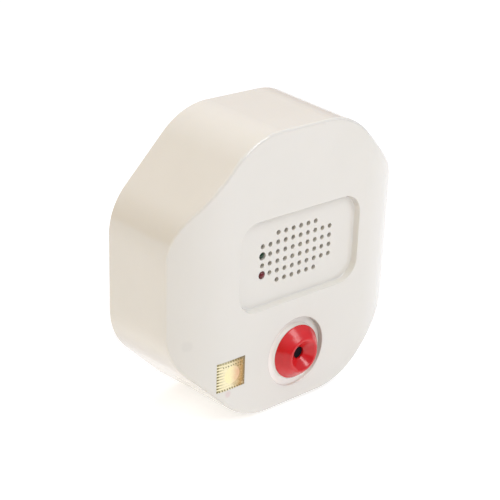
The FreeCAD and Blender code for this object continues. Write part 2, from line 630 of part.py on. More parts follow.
# gas sensor: base, six pins, metal can, gauze and the sensing tube
sensor_base = cyl("sensor_base", "sensor_base_radius", "sensor_base_thick", 0, "-1*sensor_base_back", "cap_z")
items = []
for i in range(6):
    a = math.radians(60 * i + 30)
    items.append(cyl("sensor_pin%d" % i, "sensor_pin_radius", "sensor_base_back-board_back-board_thick",
                     "%r*sensor_pin_ring" % round(math.cos(a), 6), FRONT_OF_BOARD, "cap_z+%r*sensor_pin_ring" % round(math.sin(a), 6)))
sensor_pins = group("sensor_pins", items)
can_back = "-1*sensor_base_back-sensor_base_thick"
can_len = "sensor_can_front-sensor_base_back-sensor_base_thick"
can_o = cyl("can_outer", "sensor_can_radius", can_len, 0, can_back, "cap_z")
can_i = cyl("can_inner", "sensor_can_bore", can_len + "-sensor_gauze_thick", 0, can_back, "cap_z")
can_w = cyl("can_window", "sensor_can_bore-1.0", can_len + "+1", 0, can_back, "cap_z")
sensor_can = cut("sensor_can", can_o, fuse("can_void", [can_i, can_w]))
sensor_gauze = cyl("sensor_gauze", "sensor_can_bore", "sensor_gauze_thick", 0, "-1*sensor_can_front+2*sensor_gauze_thick", "cap_z")
sensor_element = cyl("sensor_element", "element_radius", "element_length", "-0.5*element_length", can_back + "-element_radius", "cap_z",
                     Rotation(Vector(0, 1, 0), 90))

# dark dust filter, pressed against the back of the cap's hole
dust_filter = cyl("dust_filter", "filter_radius", "filter_thick", 0, "-1*depth-cap_hole_front+cap_lip+filter_thick", "cap_z")

# sounder with its sound hole
snd = cyl("sounder_blank", "sounder_radius", "sounder_height", "sounder_x", FRONT_OF_BOARD, "grid_z")
snd_h = cyl("sounder_bore", "sounder_hole", 2.0, "sounder_x", FRONT_OF_BOARD + "-sounder_height+1.5", "grid_z")
sounder = cut("sounder", snd, snd_h)


def lamp(name, z, front, tilt):
    """Round-nosed 3 mm lamp with a flange; its nose ends at the given depth."""
    back = "-1*(%s)+lamp_length" % front
    flange = cyl(name + "_flange", "lamp_flange", 1.0, "-4.5*pitch", back, z)
    body = cyl(name + "_barrel", "lamp_radius", "lamp_length-lamp_radius", "-4.5*pitch", back, z)
    nose = doc.addObject("Part::Sphere", name + "_nose")
    nose.Radius = V["lamp_radius"]
    nose.setExpression("Radius", S("lamp_radius"))
    place(nose, "-4.5*pitch", "-1*(%s)+lamp_radius" % front, z)
    return fuse(name, [flange, body, nose])


led_green = lamp("led_green", "grid_z+0.5*pitch", "depth-panel_depth-0.1", 0)
led_red = lamp("led_red", "grid_z-1.5*pitch", "depth-panel_depth+0.7", 0)
items = []
for nm, z, front in (("g", "grid_z+0.5*pitch", "depth-panel_depth-0.1"), ("r", "grid_z-1.5*pitch", "depth-panel_depth+0.7")):
    for sx in (-1, 1):
        items.append(cyl("lead_%s%s" % (nm, "a" if sx < 0 else "b"), "lamp_lead", "(%s)-lamp_length-board_back-board_thick" % front,
                         "-4.5*pitch+%r" % (sx * 1.27), FRONT_OF_BOARD, z))
led_leads = group("led_leads", items)

# foil label: flat part and the part that follows the flank arc
flat = box("label_flat", "label_right+flank_start", "label_thick", "label_top-label_bottom", "-1*flank_start", "-1*depth-label_thick", "label_bottom")
ring_o = cyl("label_ring_outer", "flank_radius+label_thick", "label_top-label_bottom", "-1*flank_start", "-1*depth+flank_radius", "label_bottom", ALONG_Z)
ring_i = cyl("label_ring_inner", "flank_radius", "label_top-label_bottom+2", "-1*flank_start", "-1*depth+flank_radius", "label_bottom-1", ALONG_Z)
ring = cut("label_ring", ring_o, ring_i)
win = box("label_window", "-1*flank_start-label_left", 10, "label_top-label_bottom", "label_left", "-1*depth-5", "label_bottom")
bent = doc.addObject("Part::Common", "label_bent")
bent.Base, bent.Tool = ring, win
foil_label = fuse("foil_label", [flat, bent])

# power inlet: moulded body, centre pin, nut and the two leads to the board
ib = cyl("inlet_barrel", "inlet_body_radius", "inlet_rear-inlet_boss_top", 0, "inlet_y", "inlet_boss_top", ALONG_Z)
bu = cyl("inlet_bush", "inlet_bush_radius", "inlet_boss_top-inlet_mouth", 0, "inlet_y", "inlet_mouth", ALONG_Z)
so = cyl("inlet_bore", "inlet_socket_radius", "inlet_socket_end-inlet_mouth+1", 0, "inlet_y", "inlet_mouth-1", ALONG_Z)
inlet_body = cut("inlet_body", fuse("inlet_blank", [ib, bu]), so)
inlet_pin = cyl("inlet_pin", "inlet_pin_radius", "inlet_socket_end-inlet_mouth-1", 0, "inlet_y", "inlet_mouth+1", ALONG_Z)
hexa = doc.addObject("Part::Prism", "nut_blank")
hexa.Polygon = 6
hexa.setExpression("Circumradius", S("nut_flats_half*2/sqrt(3)"))
hexa.setExpression("Height", S("nut_thick"))
place(hexa, 0, "inlet_y", "inlet_sink_floor-nut_thick", ALONG_Z)
nb = cyl("nut_bore", "inlet_bush_radius+0.05", "nut_thick+2", 0, "inlet_y", "inlet_sink_floor-nut_thick-1", ALONG_Z)
inlet_nut = cut("inlet_nut", hexa, nb)

# parts standing on the front of the board
def can_cap(i, x, z):
    a = cyl("cap_can%d" % i, "cap_can_radius", "cap_can_height", x, FRONT_OF_BOARD, z)
    return a


capacitors = group("capacitors", [can_cap(0, 24.0, -20.5), can_cap(1, 20.0, -30.0)])
reg_tab = box("regulator_tab", 10.0, 1.3, 15.0, -29.0, FRONT_OF_BOARD + "-1.3", -29.0)
reg_body = box("regulator_body", 10.0, 3.2, 9.0, -29.0, FRONT_OF_BOARD + "-4.5", -23.0)
chip = box("controller_chip", 19.0, 3.3, 6.4, -9.5, FRONT_OF_BOARD + "-3.8", 27.0)
items = []
for i in range(7):
    for sz, z in ((1, 33.4), (-1, 26.4)):
        items.append(box("chip_leg%d%s" % (i, "a" if sz > 0 else "b"), 0.5, 2.2, 0.6, -7.87 + 2.54 * i, FRONT_OF_BOARD + "-2.2", z))
chip_legs = group("chip_legs", items)
items = []
for i, (x, z) in enumerate(((-24, 24), (-24, 20), (-24, 16), (-28, -6), (-28, -9.5), (22, 0), (26, 4), (27, -6))):
    items.append(cyl("resistor%d" % i, 1.1, 6.0, float(x) - 3.0, FRONT_OF_BOARD + "-1.1", float(z), Rotation(Vector(0, 1, 0), 90)))
resistors = group("resistors", items)
tb = box("trimmer_block", 6.6, 4.6, 6.6, 18.5, FRONT_OF_BOARD + "-4.6", 24.0)
td = box("trimmer_slot", 3.0, 0.6, 0.8, 20.3, FRONT_OF_BOARD + "-4.6", 26.9)
trimmer = cut("trimmer", tb, td)
tr_c = cyl("transistor_round", 2.3, 4.6, -20.0, FRONT_OF_BOARD, 31.0)
tr_b = box("transistor_flat", 6.0, 7.0, 2.0, -23.0, FRONT_OF_BOARD + "-6", 32.2)
transistor = cut("driver_transistor", tr_c, tr_b)

doc.recompute()

# leads from the inlet to the board: a rise, a wide bend and a run to the board
sizes = doc.getObject("Sizes")
runs = []
for sx in (-1, 1):
    wr, bend = float(sizes.wire_radius), float(sizes.wire_bend)
    x, y0, z0 = 2.4 * sx, float(sizes.inlet_y), float(sizes.inlet_rear)
    y1, zt = -float(sizes.board_back), float(sizes.inlet_rear) + float(sizes.wire_rise)
    c = math.cos(math.pi / 4)
    a, b, d, e = Vector(x, y0, z0), Vector(x, y0, zt - bend), Vector(x, y0 - bend, zt), Vector(x, y1, zt)
    mid = Vector(x, y0 - bend + bend * c, zt - bend + bend * c)
    wire = Part.Wire([Part.LineSegment(a, b).toShape(), Part.Arc(b, mid, d).toShape(), Part.LineSegment(d, e).toShape()])
    disc = Part.Wire([Part.makeCircle(wr, a, Vector(0, 0, 1))])
    solid = wire.makePipeShell([disc], True, True)
    if abs(solid.Volume - math.pi * wr * wr * wire.Length) > 0.02 * solid.Volume:
        raise RuntimeError("lead volume")
    runs.append(solid)
leads = doc.addObject("Part::Feature", "inlet_leads")
leads.Shape = Part.makeCompound(runs)
leads.Placement = Placement()
doc.recompute()

NODES = [housing, cover, cover_screws, board, board_screws, capb, sensor_base, sensor_pins, sensor_can, sensor_gauze,
         sensor_element, dust_filter, sounder, led_green, led_red, led_leads, foil_label, inlet_body, inlet_pin, inlet_nut, leads,
         capacitors, reg_tab, reg_body, chip, chip_legs, resistors, trimmer, transistor]
for o in NODES:
    o.Label = o.Name

bad = [o.Name for o in doc.Objects if ("Invalid" in o.State or "Error" in o.State)]
if bad:
    raise RuntimeError("not computed: %s" % bad)
os.makedirs("parts", exist_ok=True)
for o in NODES:
    s = o.Shape
    if s.isNull() or not s.isValid() or not s.Solids:
        raise RuntimeError("shape of %s is not usable" % o.Label)
    s.exportStep("parts/%s.step" % o.Label)
    b = s.BoundBox
    print("%-18s solids %2d  vol %9.1f  x %7.2f %7.2f  y %7.2f %7.2f  z %7.2f %7.2f" % (
        o.Label, len(s.Solids), s.Volume, b.XMin, b.XMax, b.YMin, b.YMax, b.ZMin, b.ZMax))
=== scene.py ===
import bpy, bmesh, math, json
from mathutils import Matrix, Vector

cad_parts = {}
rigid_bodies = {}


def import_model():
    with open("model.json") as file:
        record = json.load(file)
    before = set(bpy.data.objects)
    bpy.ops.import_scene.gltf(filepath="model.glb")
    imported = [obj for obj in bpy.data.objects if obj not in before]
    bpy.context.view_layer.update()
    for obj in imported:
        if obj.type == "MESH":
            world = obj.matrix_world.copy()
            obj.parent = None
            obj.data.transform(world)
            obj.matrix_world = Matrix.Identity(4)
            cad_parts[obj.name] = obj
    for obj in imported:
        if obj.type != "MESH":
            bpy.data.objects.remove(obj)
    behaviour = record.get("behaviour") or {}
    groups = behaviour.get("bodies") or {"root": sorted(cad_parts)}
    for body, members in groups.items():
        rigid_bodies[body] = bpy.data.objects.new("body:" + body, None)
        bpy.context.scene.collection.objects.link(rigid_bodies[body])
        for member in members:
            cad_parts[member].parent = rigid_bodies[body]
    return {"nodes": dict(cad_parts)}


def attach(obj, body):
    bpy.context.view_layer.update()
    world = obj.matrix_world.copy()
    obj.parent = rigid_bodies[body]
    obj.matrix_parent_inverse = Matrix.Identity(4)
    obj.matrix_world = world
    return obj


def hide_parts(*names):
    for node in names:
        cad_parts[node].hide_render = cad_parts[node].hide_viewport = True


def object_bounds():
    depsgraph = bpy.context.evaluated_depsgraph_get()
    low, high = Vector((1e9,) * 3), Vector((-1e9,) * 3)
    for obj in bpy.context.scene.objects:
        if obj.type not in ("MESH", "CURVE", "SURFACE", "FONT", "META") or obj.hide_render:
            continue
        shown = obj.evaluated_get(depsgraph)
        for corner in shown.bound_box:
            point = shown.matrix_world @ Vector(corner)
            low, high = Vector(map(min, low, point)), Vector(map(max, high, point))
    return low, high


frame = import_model()
cad_box = [list(v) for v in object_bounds()]
nodes = frame["nodes"]
scene = bpy.context.scene
scene.view_settings.view_transform = "Standard"
scene.view_settings.look = "None"
MM = 0.001

# ------------------------------------------------------------------ camera
cam_data = bpy.data.cameras.new("camera")
cam_data.sensor_width = 36.0
cam_data.lens = 91.492
cam_data.clip_start, cam_data.clip_end = 0.01, 20.0
cam = bpy.data.objects.new("camera", cam_data)
scene.collection.objects.link(cam)
cam.matrix_world = Matrix(((0.7502534, 0.23846186, -0.61664883, -0.2905594),
                           (-0.66039851, 0.31476018, -0.6817623, -0.33340639),
                           (0.03152219, 0.91872845, 0.39362975, 0.18339708),
                           (0.0, 0.0, 0.0, 1.0)))
scene.camera = cam


# ----------------------------------------------------------- node utilities
class Mat:
    """Small builder for node materials."""

    def __init__(self, name):
        self.mat = bpy.data.materials.new(name)
        self.mat.use_nodes = True
        self.t = self.mat.node_tree
        self.t.nodes.clear()
        self.out = self.t.nodes.new("ShaderNodeOutputMaterial")
        self.bsdf = self.t.nodes.new("ShaderNodeBsdfPrincipled")
        self.link(self.bsdf.outputs[0], self.out.inputs["Surface"])
        self.co = self.t.nodes.new("ShaderNodeTexCoord").outputs["Object"]

    def link(self, a, b):
        self.t.links.new(a, b)

    def set(self, **kw):
        for k, v in kw.items():
            s = self.bsdf.inputs[k.replace("_", " ")]
            if hasattr(v, "is_output"):
                self.link(v, s)
            else:
                s.default_value = v if not isinstance(v, tuple) or len(v) != 3 or k == "Subsurface_Radius" else (*v, 1.0)
        return self

    def node(self, kind, **props):
        n = self.t.nodes.new(kind)
        for k, v in props.items():
            setattr(n, k, v)
        return n

    def feed(self, sock, v):
        if hasattr(v, "is_output"):
            self.link(v, sock)
        else:
            sock.default_value = v

    def noise(self, scale, detail=3.0, rough=0.5, co=None, dist=0.0, stretch=None):
        n = self.node("ShaderNodeTexNoise")
        n.inputs["Scale"].default_value = scale
        n.inputs["Detail"].default_value = detail
        n.inputs["Roughness"].default_value = rough
        n.inputs["Distortion"].default_value = dist
        c = co if co is not None else self.co
        if stretch:
            m = self.node("ShaderNodeMapping")
            m.inputs["Scale"].default_value = stretch
            self.link(c, m.inputs["Vector"])
            c = m.outputs[0]
        self.link(c, n.inputs["Vector"])
        return n.outputs["Fac"]

    def math(self, op, a, b=0.0, c=0.0, clamp=False):
        n = self.node("ShaderNodeMath", operation=op, use_clamp=clamp)
        for i, v in enumerate((a, b, c)):
            self.feed(n.inputs[i], v)
        return n.outputs[0]

    def ramp(self, v, lo, hi, a=0.0, b=1.0, smooth=False):
        n = self.node("ShaderNodeMapRange", interpolation_type="SMOOTHSTEP" if smooth else "LINEAR")
        self.feed(n.inputs["Value"], v)
        for k, x in (("From Min", lo), ("From Max", hi), ("To Min", a), ("To Max", b)):
            self.feed(n.inputs[k], x)
        return n.outputs[0]

    def mix(self, f, a, b):
        n = self.node("ShaderNodeMix", data_type="RGBA")
        self.feed(n.inputs[0], f)
        for i, v in ((6, a), (7, b)):
            self.feed(n.inputs[i], (*v, 1.0) if isinstance(v, tuple) and len(v) == 3 else v)
        return n.outputs[2]

    def xyz(self):
        n = self.node("ShaderNodeSeparateXYZ")
        self.link(self.co, n.inputs[0])
        return n.outputs

    def spot(self, centre, radius, soft=0.6, wobble=0.4):
        """Soft blob round a point, its edge broken by noise."""
        d = self.node("ShaderNodeVectorMath", operation="DISTANCE")
        self.link(self.co, d.inputs[0])
        d.inputs[1].default_value = centre
        n = self.noise(1.2 / radius, 4.0, 0.6)
        r = self.math("ADD", self.math("DIVIDE", d.outputs["Value"], radius), self.math("MULTIPLY", self.math("SUBTRACT", n, 0.5), 2.0 * wobble))
        return self.ramp(r, 1.0, 1.0 - soft, 0.0, 1.0, True)

    def bump(self, height, distance, strength=1.0, under=None):
        n = self.node("ShaderNodeBump")
        n.inputs["Strength"].default_value = strength
        n.inputs["Distance"].default_value = distance
        self.link(height, n.inputs["Height"])
        if under is not None:
            self.link(under, n.inputs["Normal"])
        return n.outputs[0]


def give(material, *names):
    for nm in names:
        o = nodes[nm] if isinstance(nm, str) else nm
        me = o.data
        if not me.materials:
            me.materials.append(material)
        for i in range(len(me.materials)):
            me.materials[i] = material


# --------------------------------------------------------------- materials
def housing_plastic(name, marks):
    m = Mat(name)
    cloud = m.noise(38.0, 4.0, 0.55)
    fine = m.noise(420.0, 3.0, 0.6)
    col = m.mix(m.ramp(cloud, 0.35, 0.65), (0.752, 0.718, 0.631), (0.771, 0.735, 0.650))
    col = m.mix(m.ramp(fine, 0.62, 0.80, 0.0, 0.05), col, (0.62, 0.59, 0.55))
    # painted shade: the faces turned down are darkened a little, a shade greyer
    turn = m.node("ShaderNodeSeparateXYZ")
    m.link(m.node("ShaderNodeNewGeometry").outputs["Normal"], turn.inputs[0])
    under = m.ramp(m.math("ADD", turn.outputs[2], m.math("MULTIPLY", cloud, 0.10)), -0.15, -0.50, 0.0, 0.75, True)
    col = m.mix(under, col, (0.61, 0.575, 0.515))
    # painted shade: the faces turned to the front are darkened a little, a shade duller than the sides
    front_painted_shade = m.ramp(turn.outputs[1], -0.35, -0.85, 0.0, 0.34, True)
    col = m.mix(front_painted_shade, col, (0.60, 0.580, 0.530))
    rough = m.ramp(cloud, 0.3, 0.7, 0.19, 0.25)
    if marks:
        grey = m.spot((-0.0478, -0.0347, -0.0179), 0.0026)
        col = m.mix(m.math("MULTIPLY", grey, 0.085), col, (0.36, 0.35, 0.36))
        pink = m.spot((-0.0324, -0.0390, -0.0398), 0.0018)
        col = m.mix(m.math("MULTIPLY", pink, 0.26), col, (0.62, 0.30, 0.32))
        # the ring groove: painted shade on its deep side, painted light on its shallow side to cancel its shade
        x, y, z = m.xyz()
        dz = m.math("SUBTRACT", z, -0.0332)
        rr = m.math("SQRT", m.math("ADD", m.math("MULTIPLY", x, x), m.math("MULTIPLY", dz, dz)))
        inside = m.math("MULTIPLY", m.ramp(y, -0.03900, -0.03880), m.ramp(y, -0.03600, -0.03620))
        side = m.math("DIVIDE", m.math("ADD", m.math("MULTIPLY", x, math.cos(math.radians(30))), m.math("MULTIPLY", dz, math.sin(math.radians(30)))), rr)
        deep = m.ramp(side, -0.25, 0.75, 0.0, 1.0, True)
        groove_wall_painted_shade = m.math("MULTIPLY", m.ramp(rr, 0.01300, 0.01352, 0.0, 1.0, True), m.ramp(rr, 0.01380, 0.01355))
        ring = m.math("MULTIPLY", m.ramp(rr, 0.01000, 0.01060), m.ramp(rr, 0.01380, 0.01355))
        # painted light: the groove floor is lightened, most on its shallow side
        col = m.mix(m.math("MULTIPLY", m.math("MULTIPLY", ring, inside), m.math("SUBTRACT", 0.75, m.math("MULTIPLY", deep, 0.45))), col, (0.870, 0.825, 0.745))
        # painted shade: a dark brown crescent on the deep side's outer wall
        col = m.mix(m.math("MULTIPLY", m.math("MULTIPLY", groove_wall_painted_shade, inside), m.math("MULTIPLY", deep, 0.72)), col, (0.24, 0.170, 0.140))
        rub = m.noise(60.0, 5.0, 0.7, stretch=(0.6, 1.0, 2.4))
        col = m.mix(m.ramp(rub, 0.63, 0.80, 0.0, 0.10), col, (0.60, 0.57, 0.53))
        rough = m.math("ADD", rough, m.ramp(rub, 0.60, 0.80, 0.0, 0.08))
    skin = m.noise(160.0, 2.0, 0.5)
    grain = m.noise(2600.0, 2.0, 0.5)
    nrm = m.bump(skin, 0.00003, 0.35)
    nrm = m.bump(grain, 0.000004, 0.30, nrm)
    m.set(Base_Color=col, Roughness=rough, Normal=nrm, IOR=1.50, Subsurface_Weight=0.12, Subsurface_Radius=(1.0, 0.8, 0.55),
          Subsurface_Scale=0.0012, Coat_Weight=0.6, Coat_Roughness=0.07)
    return m.mat


def red_plastic():
    m = Mat("cap_red_gloss")
    cloud = m.noise(140.0, 3.0, 0.5)
    col = m.mix(m.ramp(cloud, 0.35, 0.65), (0.560, 0.0070, 0.0085), (0.640, 0.0100, 0.0120))
    scuff = m.noise(900.0, 4.0, 0.7, stretch=(1.0, 1.0, 0.35))
    rough = m.ramp(scuff, 0.35, 0.75, 0.17, 0.28)
    nrm = m.bump(m.noise(260.0, 2.0, 0.5), 0.00005, 0.5)
    nrm = m.bump(scuff, 0.000004, 0.4, nrm)
    m.set(Base_Color=col, Roughness=rough, Normal=nrm, IOR=1.50, Subsurface_Weight=0.10, Subsurface_Radius=(1.0, 0.25, 0.2),
          Subsurface_Scale=0.001)
    return m.mat


def plain_mould(name, a, b, rough=(0.45, 0.6), scale=500.0, grain=0.00001, **kw):
    m = Mat(name)
    n = m.noise(scale, 4.0, 0.6)
    m.set(Base_Color=m.mix(m.ramp(n, 0.35, 0.65), a, b), Roughness=m.ramp(n, 0.3, 0.7, rough[0], rough[1]),
          Normal=m.bump(m.noise(scale * 4, 2.0, 0.5), grain, 0.6), **kw)
    return m.mat


def metal(name, a, b, rough=(0.2, 0.4), stretch=(1, 1, 8), scale=900.0):
    m = Mat(name)
    n = m.noise(scale, 4.0, 0.65, stretch=stretch)
    m.set(Base_Color=m.mix(m.ramp(n, 0.3, 0.7), a, b), Roughness=m.ramp(n, 0.3, 0.7, rough[0], rough[1]), Metallic=1.0,
          Normal=m.bump(n, 0.000006, 0.5))
    return m.mat


def lamp_resin(name, a, b, deep):
    m = Mat(name)
    n = m.noise(700.0, 3.0, 0.5)
    m.set(Base_Color=m.mix(m.ramp(n, 0.3, 0.7), a, b), Roughness=m.ramp(n, 0.3, 0.7, 0.08, 0.16), IOR=1.5, Transmission_Weight=0.35,
          Normal=m.bump(n, 0.00001, 0.3), Subsurface_Weight=0.0)
    return m.mat


def filter_felt():
    """Nearly black felt with a fine open weave."""
    m = Mat("filter_felt")
    x, y, z = m.xyz()
    wx = m.math("SINE", m.math("MULTIPLY", x, 7400.0))
    wz = m.math("SINE", m.math("MULTIPLY", z, 7400.0))
    weave = m.math("MULTIPLY", wx, wz)
    fuzz = m.noise(2400.0, 3.0, 0.6)
    col = m.mix(m.ramp(weave, -0.6, 0.9), (0.0020, 0.0018, 0.0022), (0.020, 0.016, 0.022))
    m.set(Base_Color=col, Roughness=0.9, IOR=1.25, Normal=m.bump(m.math("ADD", weave, fuzz), 0.00006, 0.8))
    return m.mat


def board_material():
    m = Mat("board_lacquer")
    x, y, z = m.xyz()
    weave_x = m.math("SINE", m.math("MULTIPLY", x, 9000.0))
    weave_z = m.math("SINE", m.math("MULTIPLY", z, 9000.0))
    weave = m.math("MULTIPLY", weave_x, weave_z)
    cell = m.node("ShaderNodeTexVoronoi", feature="DISTANCE_TO_EDGE", distance="MANHATTAN")
    cell.inputs["Scale"].default_value = 190.0
    m.link(m.co, cell.inputs["Vector"])
    track = m.ramp(cell.outputs["Distance"], 0.10, 0.14, 1.0, 0.0)
    col = m.mix(m.ramp(weave, -1.0, 1.0), (0.012, 0.085, 0.035), (0.016, 0.105, 0.045))
    col = m.mix(m.math("MULTIPLY", track, 0.7), col, (0.035, 0.20, 0.075))
    m.set(Base_Color=col, Roughness=m.ramp(m.noise(300.0), 0.3, 0.7, 0.25, 0.4), IOR=1.5, Normal=m.bump(track, 0.00004, 0.8))
    return m.mat


plastic_front = housing_plastic("housing_warm_white", True)
plastic_cover = housing_plastic("cover_warm_white", False)
steel = metal("zinc_plate", (0.60, 0.60, 0.62), (0.72, 0.72, 0.73), (0.22, 0.38))
tin = metal("tinned_wire", (0.62, 0.62, 0.62), (0.74, 0.74, 0.73), (0.25, 0.4))
can_steel = metal("sensor_steel", (0.42, 0.41, 0.39), (0.55, 0.54, 0.52), (0.28, 0.45))
brass = metal("plated_brass", (0.66, 0.62, 0.50), (0.76, 0.72, 0.60), (0.18, 0.32))
alu = metal("tab_metal", (0.62, 0.62, 0.62), (0.74, 0.74, 0.74), (0.3, 0.45))
black = plain_mould("black_mould", (0.012, 0.012, 0.013), (0.022, 0.022, 0.022))
resin = plain_mould("black_resin", (0.016, 0.016, 0.017), (0.028, 0.028, 0.028), (0.55, 0.7))
sensor_black = plain_mould("sensor_mould", (0.010, 0.010, 0.011), (0.02, 0.02, 0.02), (0.4, 0.55))
ceramic = plain_mould("white_ceramic", (0.74, 0.73, 0.69), (0.82, 0.81, 0.78), (0.25, 0.35))
sleeve = plain_mould("can_sleeve", (0.012, 0.018, 0.07), (0.018, 0.026, 0.10), (0.22, 0.32))
tan = plain_mould("tan_lacquer", (0.50, 0.36, 0.20), (0.60, 0.45, 0.27), (0.3, 0.45))
blue = plain_mould("blue_mould", (0.02, 0.09, 0.30), (0.03, 0.12, 0.38), (0.3, 0.45))
wire_skin = plain_mould("wire_skin", (0.30, 0.012, 0.012), (0.38, 0.02, 0.02), (0.35, 0.5))

give(plastic_front, "front_housing")
give(plastic_cover, "back_cover")
give(steel, "cover_screws", "board_screws")
give(board_material(), "main_board")
give(red_plastic(), "sensor_cap")
give(sensor_black, "sensor_base")
give(tin, "sensor_pins", "led_leads", "chip_legs")
give(can_steel, "sensor_can", "sensor_gauze")
give(ceramic, "sensor_element")
give(black, "sounder", "inlet_body")
give(filter_felt(), "dust_filter")
give(lamp_resin("lamp_green_resin", (0.004, 0.042, 0.011), (0.006, 0.060, 0.016), 0.0), "led_green")
give(lamp_resin("lamp_red_resin", (0.16, 0.006, 0.010), (0.22, 0.010, 0.014), 0.0), "led_red")
give(brass, "inlet_pin", "inlet_nut")
give(wire_skin, "inlet_leads")
give(sleeve, "capacitors")
give(alu, "regulator_tab")
give(resin, "regulator_body", "controller_chip", "driver_transistor")
give(tan, "resistors")
give(blue, "trimmer")


# ------------------------------------------------------- gold foil label
# plain embossed foil: ruled lines, a frame of small ticks and a round medallion
LX0, LX1, LZ0, LZ1 = -37.4, -24.9, -38.1, -26.7
MEDAL = (-30.8, -32.45, 3.45)
FLANK_X, FLANK_R, FRONT_Y = -32.0, 31.4, -39.0


def foil_relief(x, z):
    """Height of the embossing above the foil, in mm."""
    r = math.hypot(x - MEDAL[0], z - MEDAL[1])
    a = math.atan2(z - MEDAL[1], x - MEDAL[0])
    edge = min(x - LX0, LX1 - x, z - LZ0, LZ1 - z)
    if r < MEDAL[2] + 0.25:
        disc = 0.035 * max(0.0, min(1.0, (MEDAL[2] + 0.25 - r) / 0.35))
        rings = 0.006 * math.cos(2 * math.pi * r / 0.9)
        petals = 0.008 * math.sin(9 * a) * max(0.0, math.sin(math.pi * min(1.0, r / MEDAL[2])))
        return disc + (rings + petals if r < MEDAL[2] - 0.2 else 0.0)
    rule = 0.012 * math.cos(2 * math.pi * (z - LZ0) / 1.16)
    if edge < 0.9:
        tick = math.sin(2 * math.pi * (x + z) / 1.0)
        return 0.010 * tick
    return rule


def foil_sheet():
    nx, nz = 100, 92
    bm = bmesh.new()
    tops, backs = [], []
    for j in range(nz + 1):
        z = LZ0 + (LZ1 - LZ0) * j / nz
        tr, br = [], []
        for i in range(nx + 1):
            x = LX0 + (LX1 - LX0) * i / nx
            drop = FLANK_R - math.sqrt(FLANK_R ** 2 - max(0.0, FLANK_X - x) ** 2)
            edge = min(i, nx - i, j, nz - j)
            high = 0.06 if edge == 0 else 0.072 + foil_relief(x, z)
            tr.append(bm.verts.new((x * MM, (FRONT_Y + drop - high) * MM, z * MM)))
            br.append(bm.verts.new((x * MM, (FRONT_Y + drop - 0.004) * MM, z * MM)))
        tops.append(tr)
        backs.append(br)
    for j in range(nz):
        for i in range(nx):
            f = bm.faces.new((tops[j][i], tops[j][i + 1], tops[j + 1][i + 1], tops[j + 1][i]))
            f.smooth = True
            bm.faces.new((backs[j][i], backs[j + 1][i], backs[j + 1][i + 1], backs[j][i + 1]))
    ring = ([(0, i) for i in range(nx)] + [(j, nx) for j in range(nz)] + [(nz, i) for i in range(nx, 0, -1)]
            + [(j, 0) for j in range(nz, 0, -1)])
    for k, (j, i) in enumerate(ring):
        j2, i2 = ring[(k + 1) % len(ring)]
        bm.faces.new((tops[j][i], backs[j][i], backs[j2][i2], tops[j2][i2]))
    bmesh.ops.recalc_face_normals(bm, faces=bm.faces)
    me = bpy.data.meshes.new("gold_label")
    bm.to_mesh(me)
    bm.free()
    o = bpy.data.objects.new("gold_label", me)
    scene.collection.objects.link(o)
    return o


